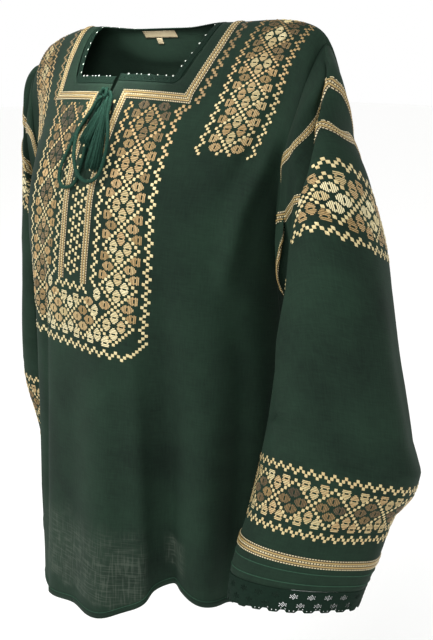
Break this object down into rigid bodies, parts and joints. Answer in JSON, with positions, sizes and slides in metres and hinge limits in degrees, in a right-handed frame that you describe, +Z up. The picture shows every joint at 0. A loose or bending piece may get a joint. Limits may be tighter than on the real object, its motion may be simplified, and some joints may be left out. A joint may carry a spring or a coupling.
{
  "type": "peasant blouse",
  "caption": "Peasant blouse worn hollow: square braided neck with a front slit and tied tassel cord, full sleeves gathered at lace-edged cuffs.",
  "frame": {"origin": "middle of the shoulder line between the two shoulder seams, where the wearer's shoulders carry the blouse", "axes": "the wearer faces -Y, the wearer's left is +X, +Z up"},
  "size_m": [0.6379, 0.2698, 0.6488],
  "materials": {
    "green_cloth": "matte slub weave",
    "gold_braid": "satin woven braid",
    "crochet_lace": "matte crochet lace",
    "label_tape": "satin tape",
    "tie_cord": "twisted cord"
  },
  "bodies": {
    "root": {"front": "green_cloth", "back": "green_cloth", "sleeve_left": "green_cloth", "sleeve_right": "green_cloth", "neck_braid_left": "gold_braid", "neck_braid_right": "gold_braid", "neck_braid_back": "gold_braid", "shoulder_braid_left": "gold_braid", "shoulder_braid_right": "gold_braid", "upper_braid_left": "gold_braid", "upper_braid_right": "gold_braid", "cuff_braid_left": "gold_braid", "cuff_braid_right": "gold_braid", "neck_lace": "crochet_lace", "cuff_lace_left": "crochet_lace", "cuff_lace_right": "crochet_lace", "label": "label_tape", "size_tag": "label_tape", "tie_knot": "tie_cord", "tie_left": "tie_cord", "tie_right": "tie_cord", "tassel_left": "tie_cord", "tassel_right": "tie_cord"}
  },
  "joints": []
}
